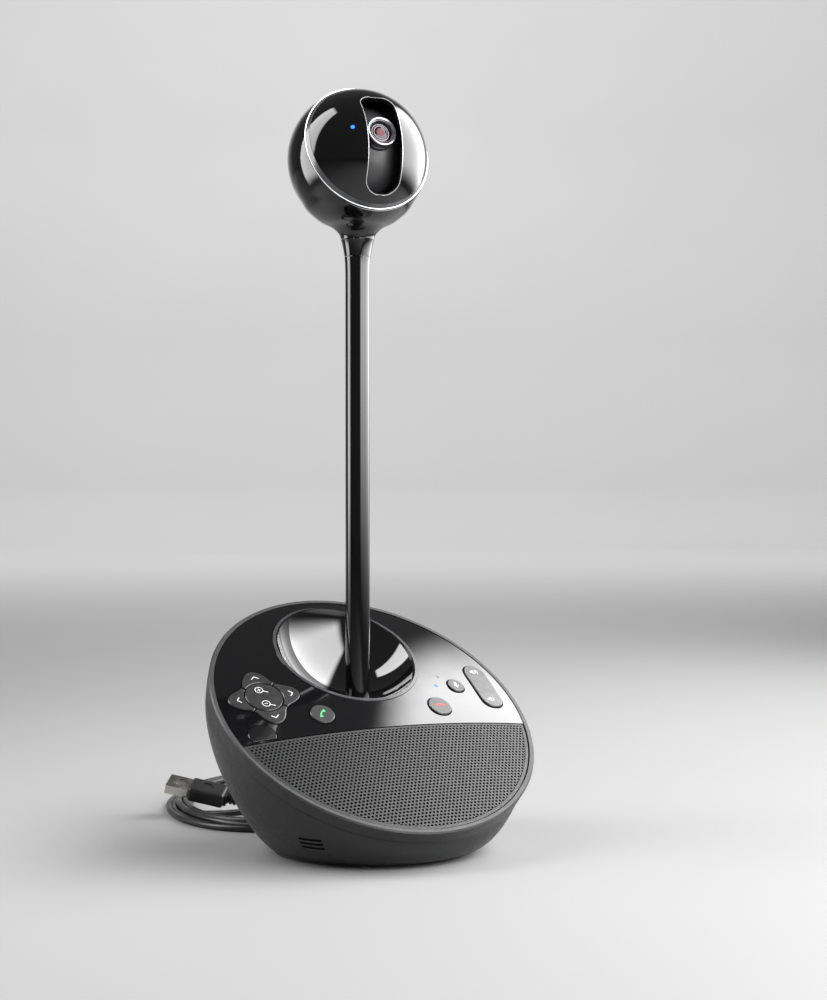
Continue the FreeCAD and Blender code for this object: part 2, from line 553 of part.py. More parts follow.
def coil_pt(t, a, b, z):
    u, w = a * math.cos(t), b * math.sin(t)
    c, s = math.cos(math.radians(COIL_ROT)), math.sin(math.radians(COIL_ROT))
    return V(COIL_C[0] + u * c + w * s, COIL_C[1] - u * s + w * c, z)


def coil_face(inset, z):
    return closed_curve([coil_pt(2 * math.pi * k / 36, COIL_A - inset, COIL_B - inset, z) for k in range(36)])


c_out = Part.makeLoft([coil_face(1.2, 0.0), coil_face(0.0, 1.2), coil_face(0.0, COIL_H - 1.2), coil_face(1.2, COIL_H)], True, True)
c_in = Part.makeLoft([coil_face(COIL_IN - 1.2, -1.0), coil_face(COIL_IN - 1.2, 0.0), coil_face(COIL_IN, 1.2),
                      coil_face(COIL_IN, COIL_H - 1.2), coil_face(COIL_IN - 1.2, COIL_H),
                      coil_face(COIL_IN - 1.2, COIL_H + 1.0)], True, True)
coil = c_out.cut(c_in)
save("cord_coil", coil)

LEAD = [(0.0, EXIT.y, EXIT.z), (-3.0, 80.0, 9.5), (-11.8, 92.5, 4.5), (-24.4, 102.5, 2.3), (-32.6, 123.8, 2.2)]
tube, L1 = cord("cord_lead", LEAD, CORD_D)
save("cord_lead", tube)

# plug: metal shell, tongue, grip and stepped strain relief, lying on the coil
TIP = V(-43.6, 127.2, 15.6)
TAIL = V(-15.7, 106.9, 8.0)
ax = TIP - TAIL
PL = 36.0
ax.normalize()
TAIL = TIP - ax * PL
ROLL = -18.0
side = V(0, 0, 1).cross(ax)
side.normalize()
upv = ax.cross(side)
m = FreeCAD.Matrix(side.x, upv.x, ax.x, TAIL.x, side.y, upv.y, ax.y, TAIL.y, side.z, upv.z, ax.z, TAIL.z, 0, 0, 0, 1)
PLUG = FreeCAD.Placement(m).multiply(FreeCAD.Placement(V(0, 0, 0), FreeCAD.Rotation(V(0, 0, 1), ROLL)))
# local: z from the cord end to the tip, x across the plug, y through it
steps = cyl(2.4, 6.5)
for k in range(3):
    steps = steps.fuse(cyl(3.0, 1.1, (0, 0, 0.8 + 1.9 * k)))
grip = box(-6.6, -3.6, 6.4, 6.6, 3.6, 24.6)
grip = grip.makeFillet(1.5, [e for e in grip.Edges])
waist = box(-4.4, -2.8, 5.2, 4.4, 2.8, 8.0)
grip = grip.fuse(waist).fuse(steps).cut(cyl(3.0, 3, (0, 3.15, 16.0), (0, 1, 0)))
save("plug_grip", put(grip, PLUG))
shell_u = box(-6.0, -2.25, 24.7, 6.0, 2.25, PL).cut(box(-5.7, -1.95, 25.3, 5.7, 1.95, PL + 1))
for x in (-2.6, 2.6):
    shell_u = shell_u.cut(box(x - 1.2, 1.5, 29.0, x + 1.2, 3.5, 31.4)).cut(box(x - 1.2, -3.5, 29.0, x + 1.2, -1.5, 31.4))
save("plug_shell", put(shell_u, PLUG))
save("plug_tongue", put(box(-5.5, -1.2, 25.35, 5.5, 0.6, PL - 0.4), PLUG))

TAILR = [tuple(TAIL), tuple(TAIL - ax * 12.0), (14.0, 98.2, 2.2), (37.3, 100.1, 2.0), (55.4, 112.6, 2.6)]
TAILR = [(round(a, 3), round(b, 3), round(c, 3)) for a, b, c in TAILR]
tube, L2 = cord("cord_tail", TAILR, CORD_D)
save("cord_tail", tube)
print("LEAD", LEAD)
print("TAIL", TAILR)

# ------------------------------------------------------------------- summary
allb = Part.makeCompound(list(made.values())).BoundBox
print("nodes", len(made), "overall", round(allb.XLength, 1), round(allb.YLength, 1), round(allb.ZLength, 1), "zmin", allb.ZMin)
for a, b in (("plug_grip", "cord_coil"), ("plug_shell", "cord_coil"), ("cord_lead", "housing"), ("cord_tail", "housing"),
             ("cord_coil", "housing"), ("cord_tail", "plug_grip"), ("cord_tail", "cord_coil"), ("cord_lead", "cord_coil"),
             ("cord_coil", "foot_pad"), ("speaker_magnet", "ballast"), ("ballast", "housing"), ("speaker_magnet", "housing"),
             ("speaker_basket", "housing"), ("main_board", "housing"), ("main_board", "dock_socket"), ("mic_capsule", "housing"),
             ("speaker_basket", "speaker_cloth"), ("main_board", "bowl"), ("cord_gland", "housing"), ("cord_gland", "cord_coil"),
             ("key_zoom", "key_left"), ("lens_carriage", "head_frame"), ("lens_carriage", "status_light")):
    print("gap %-14s %-14s %.2f common %.2f" % (a, b, made[a].distToShape(made[b])[0], made[a].common(made[b]).Volume))
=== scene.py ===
import math
import bpy
import numpy as np
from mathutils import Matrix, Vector


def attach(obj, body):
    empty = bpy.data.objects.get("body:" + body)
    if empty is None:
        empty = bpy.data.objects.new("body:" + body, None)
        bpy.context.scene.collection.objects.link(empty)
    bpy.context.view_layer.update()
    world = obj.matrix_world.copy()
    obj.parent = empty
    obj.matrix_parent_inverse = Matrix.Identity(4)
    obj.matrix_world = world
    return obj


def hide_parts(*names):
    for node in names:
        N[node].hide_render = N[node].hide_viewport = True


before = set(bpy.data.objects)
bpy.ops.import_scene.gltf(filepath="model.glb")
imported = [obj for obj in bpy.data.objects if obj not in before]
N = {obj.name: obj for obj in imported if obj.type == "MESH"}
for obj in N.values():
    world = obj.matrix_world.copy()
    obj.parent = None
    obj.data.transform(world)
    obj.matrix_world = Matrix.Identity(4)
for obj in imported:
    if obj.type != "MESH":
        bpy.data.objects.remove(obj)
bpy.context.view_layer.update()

MM = 0.001

# ------------------------------------------------------------------ the frame
TILT = math.radians(36.75)
sT, cT = math.sin(TILT), math.cos(TILT)
DOME_H, R_PANEL = 5.27, 74.5
R_DOME = (R_PANEL ** 2 + DOME_H ** 2) / (2 * DOME_H)


def dome_w(x, v):
    return DOME_H - R_DOME + math.sqrt(R_DOME ** 2 - x * x - v * v)


def deck(x, v, w):
    """Deck coordinates in mm to the row frame in metres."""
    return Vector((x, v * cT - w * sT - 1.8, 63.0 + v * sT + w * cT)) * MM


# ------------------------------------------------------------------ materials
def mat(name, col, rough=0.4, metal=0.0, var=0.06, nscale=350.0, rvar=0.05, bump=0.0, bscale=2500.0,
        bdist=0.00005, coat=0.0, coat_r=0.03, emit=None, estr=0.0, trans=0.0, ior=1.5, spec=0.5, alpha=1.0, smudge=False):
    m = bpy.data.materials.new(name)
    m.use_nodes = True
    nt = m.node_tree
    b = nt.nodes["Principled BSDF"]
    tc = nt.nodes.new("ShaderNodeTexCoord")
    n1 = nt.nodes.new("ShaderNodeTexNoise")
    n1.inputs["Scale"].default_value = nscale
    n1.inputs["Detail"].default_value = 5.0
    nt.links.new(tc.outputs["Object"], n1.inputs["Vector"])
    ramp = nt.nodes.new("ShaderNodeValToRGB")
    ramp.color_ramp.elements[0].position = 0.3
    ramp.color_ramp.elements[1].position = 0.7
    ramp.color_ramp.elements[0].color = tuple(c * (1 - var) for c in col) + (1,)
    ramp.color_ramp.elements[1].color = tuple(min(1, c * (1 + var)) for c in col) + (1,)
    nt.links.new(n1.outputs["Fac"], ramp.inputs["Fac"])
    nt.links.new(ramp.outputs["Color"], b.inputs["Base Color"])
    n2 = nt.nodes.new("ShaderNodeTexNoise")
    n2.inputs["Scale"].default_value = 30.0 if smudge else nscale * 0.35
    n2.inputs["Detail"].default_value = 4.0
    nt.links.new(tc.outputs["Object"], n2.inputs["Vector"])
    mr = nt.nodes.new("ShaderNodeMapRange")
    mr.inputs["From Min"].default_value = 0.35
    mr.inputs["From Max"].default_value = 0.65
    mr.inputs["To Min"].default_value = max(0.0, rough - rvar)
    mr.inputs["To Max"].default_value = min(1.0, rough + rvar)
    nt.links.new(n2.outputs["Fac"], mr.inputs["Value"])
    nt.links.new(mr.outputs["Result"], b.inputs["Roughness"])
    if bump:
        n3 = nt.nodes.new("ShaderNodeTexNoise")
        n3.inputs["Scale"].default_value = bscale
        n3.inputs["Detail"].default_value = 3.0
        nt.links.new(tc.outputs["Object"], n3.inputs["Vector"])
        bp = nt.nodes.new("ShaderNodeBump")
        bp.inputs["Strength"].default_value = bump
        bp.inputs["Distance"].default_value = bdist
        nt.links.new(n3.outputs["Fac"], bp.inputs["Height"])
        nt.links.new(bp.outputs["Normal"], b.inputs["Normal"])
    b.inputs["Metallic"].default_value = metal
    b.inputs["IOR"].default_value = ior
    b.inputs["Specular IOR Level"].default_value = spec
    b.inputs["Coat Weight"].default_value = coat
    b.inputs["Coat Roughness"].default_value = coat_r
    b.inputs["Transmission Weight"].default_value = trans
    b.inputs["Alpha"].default_value = alpha
    if emit:
        b.inputs["Emission Color"].default_value = tuple(emit) + (1,)
        b.inputs["Emission Strength"].default_value = estr
    return m


M = {
    "housing": mat("soft_charcoal", (0.011, 0.0112, 0.0117), 0.43, bump=0.35, bscale=3200, bdist=0.00004, rvar=0.05, nscale=900),
    "rim": mat("satin_rim", (0.028, 0.0283, 0.029), 0.42, bump=0.15, bscale=4000, bdist=0.00002, nscale=700),
    "panel": mat("piano_black", (0.0035, 0.0035, 0.004), 0.07, rvar=0.025, spec=0.3, coat=0.9, coat_r=0.02, smudge=True, bump=0.05, bscale=60, bdist=0.00002),
    "bowl": mat("bowl_black", (0.003, 0.003, 0.0035), 0.04, rvar=0.02, coat=1.0, coat_r=0.015, smudge=True),
    "pole": mat("pole_black", (0.003, 0.003, 0.0034), 0.09, rvar=0.03, spec=0.2, coat=0.8, coat_r=0.03, smudge=True),
    "ball": mat("ball_black", (0.003, 0.003, 0.0034), 0.04, rvar=0.02, spec=0.2, coat=0.8, coat_r=0.015, smudge=True),
    "bezel": mat("bezel_grey", (0.05, 0.05, 0.053), 0.2, rvar=0.03, coat=0.6),
    "key": mat("key_grey", (0.015, 0.0152, 0.016), 0.38, bump=0.2, bscale=4200, bdist=0.00002, nscale=900, coat=0.3, coat_r=0.22),
    "key_gloss": mat("key_gloss_black", (0.005, 0.005, 0.0055), 0.16, rvar=0.02, spec=0.25, coat=0.4, smudge=True),
    "grille": mat("grille_paint", (0.022, 0.0222, 0.023), 0.45, metal=0.1, spec=0.4, bump=0.15, bscale=5200, bdist=0.00001, nscale=1500),
    "cloth": mat("acoustic_cloth", (0.0018, 0.0018, 0.0018), 0.95, bump=0.8, bscale=1800, bdist=0.0002),
    "rubber": mat("black_rubber", (0.018, 0.018, 0.018), 0.7, bump=0.3, bscale=2600),
    "cable": mat("cord_jacket", (0.013, 0.013, 0.0135), 0.38, bump=0.15, bscale=1500, bdist=0.00003, nscale=260, rvar=0.08),
    "grip": mat("plug_moulding", (0.014, 0.014, 0.015), 0.42, bump=0.25, bscale=2600),
    "chrome": mat("chrome_line", (0.48, 0.49, 0.5), 0.08, metal=1.0, rvar=0.03, nscale=600),
    "usb_metal": mat("nickel_shell", (0.62, 0.61, 0.59), 0.25, metal=1.0, rvar=0.08, nscale=500, bump=0.08, bscale=1500),
    "usb_tongue": mat("white_tongue", (0.72, 0.72, 0.70), 0.45),
    "steel": mat("zinc_steel", (0.5, 0.5, 0.51), 0.35, metal=1.0, bump=0.15),
    "ballast": mat("grey_iron", (0.16, 0.16, 0.17), 0.6, metal=0.6, bump=0.6, bscale=900, bdist=0.0002),
    "inner": mat("black_moulding", (0.02, 0.02, 0.021), 0.5, bump=0.3),
    "board": mat("green_board", (0.01, 0.08, 0.03), 0.45, nscale=260, var=0.25, bump=0.3, bscale=700),
    "contact": mat("gold_contact", (0.8, 0.58, 0.25), 0.25, metal=1.0),
    "cone": mat("paper_cone", (0.03, 0.03, 0.03), 0.9, bump=0.7, bscale=1200, bdist=0.0002),
    "lens_metal": mat("anodised_barrel", (0.13, 0.13, 0.14), 0.3, metal=0.8, rvar=0.06),
    "lens_ring": mat("lens_bezel", (0.32, 0.32, 0.34), 0.24, metal=0.9, rvar=0.05),
    "lens_dark": mat("lens_baffle_black", (0.01, 0.01, 0.012), 0.3, bump=0.2),
    "lens_glass": mat("coated_glass", (0.02, 0.002, 0.005), 0.05, rvar=0.01, coat=0.15, coat_r=0.0, spec=0.35, nscale=80),
    # lens_core: red of the coated glass plus a faint painted glow (emission); the lens is no lamp
    "lens_core": mat("lens_core_red_painted_glow", (0.11, 0.004, 0.014), 0.25, rvar=0.04, spec=0.2, coat=0.1, emit=(0.5, 0.02, 0.06), estr=0.04),
    "led_blue": mat("led_blue", (0.03, 0.16, 0.7), 0.3, emit=(0.01, 0.1, 0.9), estr=2.4),
    "shroud": mat("shroud_satin", (0.03, 0.03, 0.032), 0.42, bump=0.1, nscale=800),
    # edge: painted highlight, a light grey strip for the light caught by the lens slot's bevel
    "edge": mat("slot_edge_painted_highlight", (0.5, 0.5, 0.51), 0.3, metal=0.4, nscale=900),
    "amber": mat("dark_amber", (0.02, 0.008, 0.003), 0.3, nscale=900, coat=0.5),
    "white": mat("print_white", (0.62, 0.62, 0.6), 0.5, nscale=2500, var=0.08),
    # green and red: printed icon colours with a faint painted glow (emission); the printed icons are no lamps
    "green": mat("print_green_painted_glow", (0.06, 0.42, 0.12), 0.45, nscale=2500, var=0.08, emit=(0.05, 0.5, 0.12), estr=0.15),
    "red": mat("print_red_painted_glow", (0.55, 0.03, 0.025), 0.45, nscale=2500, var=0.08, emit=(0.6, 0.03, 0.02), estr=0.12),
    "blue": mat("print_blue", (0.02, 0.12, 0.5), 0.45, nscale=2500, var=0.08, emit=(0.02, 0.2, 0.9), estr=0.6),
}


def paint(name, m):
    o = N[name]
    o.data.materials.clear()
    o.data.materials.append(m)
    for p in o.data.polygons:
        p.material_index = 0


LOOK = {
    "housing": "housing", "foot_pad": "rubber", "base_plate": "inner", "base_screws": "steel", "ballast": "ballast", "rim_ring": "rim",
    "top_panel": "panel", "bowl_ring": "bezel", "bowl": "bowl", "dock_socket": "inner", "dock_contacts": "contact",
    "speaker_grille": "grille", "speaker_cloth": "cloth", "speaker_basket": "steel", "speaker_cone": "cone", "speaker_magnet": "ballast",
    "main_board": "board", "key_switches": "inner", "deck_lights": "blue", "mic_capsule": "steel", "cord_gland": "rubber",
    "cord_lead": "cable", "cord_coil": "cable", "cord_tail": "cable", "plug_grip": "grip", "plug_shell": "usb_metal",
    "plug_tongue": "usb_tongue", "stand_tube": "pole", "stand_wiring": "cable", "stand_plug": "contact", "stand_socket": "contact",
    "neck_collar": "pole", "pan_shaft": "steel", "pan_clip": "steel", "rear_shell": "ball", "seam_ring": "chrome", "bezel_band": "bezel",
    "front_dome": "ball", "status_light": "led_blue", "head_frame": "inner", "tilt_motor": "steel", "pan_motor": "steel",
    "head_board": "board", "lens_carriage": "shroud", "lens_barrel": "lens_metal", "lens_ring": "lens_ring", "lens_glass": "lens_glass",
    "lens_baffle": "lens_dark", "lens_sensor": "board", "key_preset": "key_gloss",
}
for name in N:
    paint(name, M[LOOK.get(name, "key")])
rim = N["rim_ring"]
rim.data.materials.append(M["housing"])
up = rim.matrix_world.to_3x3()
for p in rim.data.polygons:
    n = up @ p.normal
    p.material_index = 0 if n.y * -sT + n.z * cT > 0.3 else 1
led = N["status_light"]
led.data.materials.append(M["inner"])
for p in led.data.polygons:
    q = led.matrix_world @ p.center - Vector((0.0, 0.01317, 0.313))
    p.material_index = 0 if q.length > 0.0318 else 1
amber = N["deck_lights"]
amber.data.materials.append(M["amber"])
for p in amber.data.polygons:
    p.material_index = 1 if (amber.matrix_world @ p.center).x > 0.038 else 0


def mesh_piece(name, verts, faces, material, body, smooth=False):
    me = bpy.data.meshes.new(name)
    me.from_pydata([tuple(v) for v in verts], [], faces)
    me.update()
    if smooth:
        me.polygons.foreach_set("use_smooth", [True] * len(me.polygons))
    me.materials.append(material)
    o = bpy.data.objects.new(name, me)
    bpy.context.scene.collection.objects.link(o)
    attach(o, body)
    return o


# ------------------------------------------------- the free cord and its coil
D = 0.0032
LEAD = [(0.0, 67.5, 12.0), (-3.0, 80.0, 9.5), (-11.8, 92.5, 4.5), (-24.4, 102.5, 2.3)]
TAIL = [(37.3, 100.1, 2.0), (14.0, 98.2, 2.2), (-5.695, 99.621, 5.275), (-15.171, 106.515, 7.856)]
CC, CR = (13.4, 126.3), math.radians(31.2)


def coil_pt(deg, inset, z):
    t = math.radians(deg)
    wob = 0.9 * math.sin(2 * t + 0.7) + 0.5 * math.sin(3 * t)
    a, b = 55.0 - inset - wob * 0.6, 83.0 - inset + wob
    u, w = a * math.cos(t), b * math.sin(t)
    return (CC[0] + u * math.cos(CR) + w * math.sin(CR), CC[1] - u * math.sin(CR) + w * math.cos(CR), z)


# each turn: inset from the outer edge of the coil, and height, at its start
TURNS = [(12.8, 1.7), (9.2, 1.7), (5.7, 1.7), (2.7, 1.8), (7.3, 4.7), (11.0, 4.7), (11.0, 4.7)]
PER = 18
coil = []
t0, t1 = -150.0, 8.3 - 360.0 * 6
steps = int(round((t0 - t1) / (360.0 / PER)))
for i in range(steps + 1):
    deg = t0 + (t1 - t0) * i / steps
    f = (t0 - deg) / 360.0
    k = min(int(f), len(TURNS) - 2)
    g = f - k
    g = min(1.0, max(0.0, (g - 0.72) / 0.28))
    g = g * g * (3 - 2 * g)
    ins = TURNS[k][0] * (1 - g) + TURNS[k + 1][0] * g
    z = TURNS[k][1] * (1 - g) + TURNS[k + 1][1] * g
    ins += 0.35 * math.sin(f * 5.1)
    coil.append(coil_pt(deg, ins, z))
route = LEAD + coil + TAIL
cu = bpy.data.curves.new("usb_cord", "CURVE")
cu.dimensions = "3D"
sp = cu.splines.new("NURBS")
sp.points.add(len(route) - 1)
for p, c in zip(sp.points, route):
    p.co = (c[0] * MM, c[1] * MM, c[2] * MM, 1.0)
sp.order_u = 3
sp.use_endpoint_u = True
cu.resolution_u = 5
cu.bevel_depth = D / 2
cu.bevel_resolution = 4
cu.use_fill_caps = True
cu.materials.append(M["cable"])
cord = bpy.data.objects.new("usb_cord", cu)
bpy.context.scene.collection.objects.link(cord)
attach(cord, "base")
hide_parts("cord_lead", "cord_coil", "cord_tail")

# --------------------------------------------------------- perforated grille
GV = -16.5
PITCH, HR = 1.9, 0.62
R_IN = 72.9
verts, key_of, faces = [], {}, []


def gv(x, v, drop):
    k = (round(x, 3), round(v, 3), drop)
    if k not in key_of:
        key_of[k] = len(verts)
        verts.append(deck(x, v, dome_w(x, v) - drop))
    return key_of[k]


TOP, BOT = 0.30, 0.85
hexr = PITCH / math.sqrt(3)
edge_count = {}
rows = int(80 / (PITCH * math.sqrt(3) / 2)) + 2
for j in range(rows):
    v = GV - 1.3 - j * PITCH * math.sqrt(3) / 2
    for i in range(-42, 43):
        x = (i + (0.5 if j % 2 else 0.0)) * PITCH
        if math.hypot(x, v) > R_IN:
            continue
        outer_t, outer_b, in_t, in_b = [], [], [], []
        for q in range(12):
            a = math.radians(30 * q + 30)
            rr = hexr if q % 2 == 0 else hexr * math.cos(math.radians(30))
            ox, ov = x + rr * math.cos(a), v + rr * math.sin(a)
            outer_t.append(gv(ox, ov, TOP))
            outer_b.append(gv(ox, ov, BOT))
            ix, iv = x + HR * math.cos(a), v + HR * math.sin(a)
            in_t.append(gv(ix, iv, TOP))
            in_b.append(gv(ix, iv, BOT))
        for q in range(12):
            r = (q + 1) % 12
            faces.append((outer_t[q], outer_t[r], in_t[r], in_t[q]))
            faces.append((outer_b[r], outer_b[q], in_b[q], in_b[r]))
            faces.append((in_t[q], in_t[r], in_b[r], in_b[q]))
            e = (outer_t[q], outer_t[r])
            edge_count[e] = (outer_b[q], outer_b[r])
for (a, b), (c, d) in list(edge_count.items()):
    if (b, a) not in edge_count:
        faces.append((b, a, c, d))
grille = mesh_piece("grille_mesh", verts, faces, M["grille"], "base")
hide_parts("speaker_grille")

# plain border of the grille
bv, bf = [], []


def edge_loop(rad, v0, n1=96, n2=40):
    a0 = math.asin(v0 / rad)
    pts = []
    for k in range(n1):
        a = (math.pi - a0) + (math.pi + 2 * a0) * k / n1
        pts.append((rad * math.cos(a), rad * math.sin(a)))
    x1 = rad * math.cos(a0)
    for k in range(n2):
        pts.append((x1 - 2 * x1 * k / n2, v0))
    return pts


lo = edge_loop(74.25, GV)
li = edge_loop(72.6, GV - 1.15)
loops = [(lo, 0.75), (lo, 0.32), (edge_loop(74.1, GV - 0.12), 0.20), (edge_loop(72.75, GV - 1.05), 0.20), (li, 0.32), (li, 0.75)]
nl = len(lo)
for pts, drop in loops:
    for x, v in pts:
        bv.append(deck(x, v, dome_w(x, v) - drop))
for a in range(len(loops)):
    b = (a + 1) % len(loops)
    for k in range(nl):
        m = (k + 1) % nl
        bf.append((a * nl + k, a * nl + m, b * nl + m, b * nl + k))
border = mesh_piece("grille_border", bv, bf, M["grille"], "base")

# ------------------------------------------------------------- printed icons
RISE = 0.8


def ribbon(name, pts, widths, material, body, rise=RISE, closed=False, h=0.04):
    """A thin raised stroke following the key top; closed mesh."""
    n = len(pts)
    if not isinstance(widths, (list, tuple)):
        widths = [widths] * n
    vs, fs = [], []
    for i, (x, v) in enumerate(pts):
        p = pts[(i - 1) % n] if (closed or i > 0) else pts[i]
        q = pts[(i + 1) % n] if (closed or i < n - 1) else pts[i]
        d1 = Vector((x - p[0], v - p[1]))
        d2 = Vector((q[0] - x, q[1] - v))
        if d1.length > 1e-6:
            d1.normalize()
        if d2.length > 1e-6:
            d2.normalize()
        t = d1 + d2
        t.normalize()
        nrm = Vector((-t.y, t.x))
        c = max(0.5, nrm.dot(Vector((-d1.y, d1.x))) if d1.length > 0.5 else 1.0)
        w = widths[i] / 2 / c
        for s in (1, -1):
            px, pv = x + nrm.x * w * s, v + nrm.y * w * s
            for up in (h, -0.05):
                vs.append(deck(px, pv, dome_w(px, pv) + rise + up))
    m = n if closed else n - 1
    for i in range(m):
        a, b = 4 * i, 4 * ((i + 1) % n)
        fs += [(a, a + 2, b + 2, b), (a + 1, b + 1, b + 3, a + 3), (a, b, b + 1, a + 1), (a + 2, a + 3, b + 3, b + 2)]
    if not closed:
        fs += [(0, 1, 3, 2), (4 * n - 4, 4 * n - 2, 4 * n - 1, 4 * n - 3)]
    o = mesh_piece(name, vs, fs, material, body)
    return o


def circle(cx, cv, r, n=28, a0=0.0, a1=360.0):
    full = abs(a1 - a0 - 360) < 1e-6
    return [(cx + r * math.cos(math.radians(a0 + (a1 - a0) * k / (n if full else n - 1))),
             cv + r * math.sin(math.radians(a0 + (a1 - a0) * k / (n if full else n - 1)))) for k in range(n)]


W = M["white"]
for nm, c, pts in (("key_up", (-52.3, 22.4), [(-1.7, -0.75), (0, 0.75), (1.7, -0.75)]),
                   ("key_down", (-52.4, -3.2), [(-1.7, 0.75), (0, -0.75), (1.7, 0.75)]),
                   ("key_left", (-64.6, 9.9), [(0.75, 1.7), (-0.75, 0), (0.75, -1.7)]),
                   ("key_right", (-39.7, 9.7), [(-0.75, 1.7), (0.75, 0), (-0.75, -1.7)])):
    o = ribbon("mark_" + nm, [(c[0] + a, c[1] + b) for a, b in pts], 0.42, W, nm)
for tag, cv in (("in", 14.3), ("out", 5.4)):
    cx = -53.4
    ribbon("zoom_ring_" + tag, circle(cx, cv, 1.75), 0.34, W, "key_zoom", closed=True)
    ribbon("zoom_handle_" + tag, [(cx + 1.55, cv - 0.9), (cx + 3.7, cv - 2.1)], 0.42, W, "key_zoom")
    ribbon("zoom_bar_" + tag, [(cx - 0.85, cv), (cx + 0.85, cv)], 0.32, W, "key_zoom")
ribbon("zoom_bar_up", [(-53.4, 13.45), (-53.4, 15.15)], 0.32, W, "key_zoom")


def handset(name, cx, cv, ang, m, body):
    """A telephone handset seen from the side: a bowed bar with two fat ends."""
    pts, ws = [], []
    for k in range(15):
        s = -1 + 2 * k / 14.0
        x = 2.35 * s
        y = 0.95 * (1 - s * s) - 0.35
        ca, sa = math.cos(math.radians(ang)), math.sin(math.radians(ang))
        pts.append((cx + x * ca - y * sa, cv + x * sa + y * ca))
        ws.append(0.62 + 1.05 * max(0.0, (abs(s) - 0.52) / 0.48) ** 0.6)
    o = ribbon(name, pts, ws, m, body)


handset("mark_answer", -30.4, -5.1, 52, M["green"], "key_answer")
handset("mark_end", 30.6, -5.2, 0, M["red"], "key_end")
# microphone
ribbon("mark_mute_body", [(46.7, 7.9), (46.7, 8.3), (46.7, 9.9), (46.7, 10.3)], [0.6, 1.15, 1.15, 0.6], W, "key_mute")
ribbon("mark_mute_cup", circle(46.7, 8.6, 1.25, 12, 190, 350), 0.28, W, "key_mute")
ribbon("mark_mute_foot", [(46.7, 7.3), (46.7, 6.3)], 0.28, W, "key_mute")
# loudspeaker symbols
for tag, cv, waves in (("up", 18.2, 2), ("down", -1.0, 1)):
    cx = 61.3
    ribbon("mark_vol_" + tag, [(cx - 1.3, cv), (cx - 0.3, cv), (cx + 0.9, cv)], [0.9, 1.1, 3.0], W, "key_volume")
    for k in range(waves):
        ribbon("mark_wave%d_%s" % (k, tag), circle(cx + 0.6, cv, 1.5 + 0.95 * k, 9, -42, 42), 0.32, W, "key_volume")

# ------------------------------------------------------------ lens inside
lens_aim = Vector((0, 0, 0))
pan = math.radians(-5.5)
el = math.radians(19.4)
AX = Vector((math.sin(pan) * math.cos(el), -math.cos(pan) * math.cos(el), math.sin(el)))
RT = Vector((math.cos(pan), math.sin(pan), 0.0))
UP = RT.cross(AX) * -1.0
BC = Vector((0, 13.17, 313.0))


def lens_lathe(name, prof, m, n=48):
    vs, fs = [], []
    k = len(prof)
    for i in range(n):
        a = 2 * math.pi * i / n
        d = RT * math.cos(a) + UP * math.sin(a)
        for r, z in prof:
            vs.append((BC + AX * z + d * r) * MM)
    for i in range(n):
        j = (i + 1) % n
        for q in range(k):
            p = (q + 1) % k
            if prof[q][0] < 1e-6 and prof[p][0] < 1e-6:
                continue
            fs.append((i * k + q, j * k + q, j * k + p, i * k + p))
    o = mesh_piece(name, vs, fs, m, "lens", smooth=False)
    return o


# lens core: red coated glass with a faint painted glow
core = lens_lathe("lens_core", [(0.4, 26.98), (1.6, 26.94), (2.1, 26.75), (2.1, 26.6), (0.4, 26.6)], M["lens_core"])
for k, r in enumerate((3.0, 3.9)):
    lens_lathe("lens_step%d" % k, [(r, 26.66 - 0.22 * k), (r + 0.28, 26.7 - 0.25 * k), (r + 0.28, 26.2), (r, 26.2)], M["lens_metal"])

# painted highlight: a light grey strip round the lens slot, on the dome surface, standing in for the light caught by
# the slot's bevel
RB, SW_, C_LO, C_HI = 32.0, 8.2, 7.4, 5.0
E_LO = -36.5 + math.degrees(C_LO / RB)
E_HI = 53.0 - math.degrees(C_HI / RB)
edge = []
for k in range(30):
    e = math.radians(E_LO + (E_HI - E_LO) * k / 30)
    r = math.sqrt(RB * RB - SW_ * SW_)
    edge.append((SW_, -r * math.cos(e), r * math.sin(e)))


def slot_corner(x0, e0, cr, f0, f1):
    e = math.radians(e0)
    for q in range(9):
        f = math.radians(f0 + (f1 - f0) * q / 9)
        x, h = x0 + cr * math.cos(f), cr * math.sin(f)
        r = math.sqrt(RB * RB - x * x - h * h)
        edge.append((x, -r * math.cos(e) + h * math.sin(e), r * math.sin(e) + h * math.cos(e)))


slot_corner(SW_ - C_HI, E_HI, C_HI, 0, 90)
slot_corner(-(SW_ - C_HI), E_HI, C_HI, 90, 180)
for k in range(30):
    e = math.radians(E_HI + (E_LO - E_HI) * k / 30)
    r = math.sqrt(RB * RB - SW_ * SW_)
    edge.append((-SW_, -r * math.cos(e), r * math.sin(e)))
slot_corner(-(SW_ - C_LO), E_LO, C_LO, 180, 270)
slot_corner(SW_ - C_LO, E_LO, C_LO, 270, 360)
sv, sf = [], []
ne = len(edge)
for i in range(ne):
    p = Vector(edge[i])
    t = (Vector(edge[(i + 1) % ne]) - Vector(edge[(i - 1) % ne])).normalized()
    up = p.normalized()
    out = t.cross(up)
    for o_, h in ((-0.05, 0.0), (0.22, 0.03), (0.22, -0.25), (-0.05, -0.25)):
        q = p + out * o_ + up * h
        sv.append(Vector((q.x * math.cos(pan) - q.y * math.sin(pan), q.x * math.sin(pan) + q.y * math.cos(pan) + 13.17, q.z + 313.0)) * MM)
for i in range(ne):
    j = (i + 1) % ne
    for q in range(4):
        r = (q + 1) % 4
        sf.append((4 * i + q, 4 * i + r, 4 * j + r, 4 * j + q))
mesh_piece("slot_edge", sv, sf, M["edge"], "head")

# ------------------------------------------------------------ stage and light
sc = bpy.context.scene


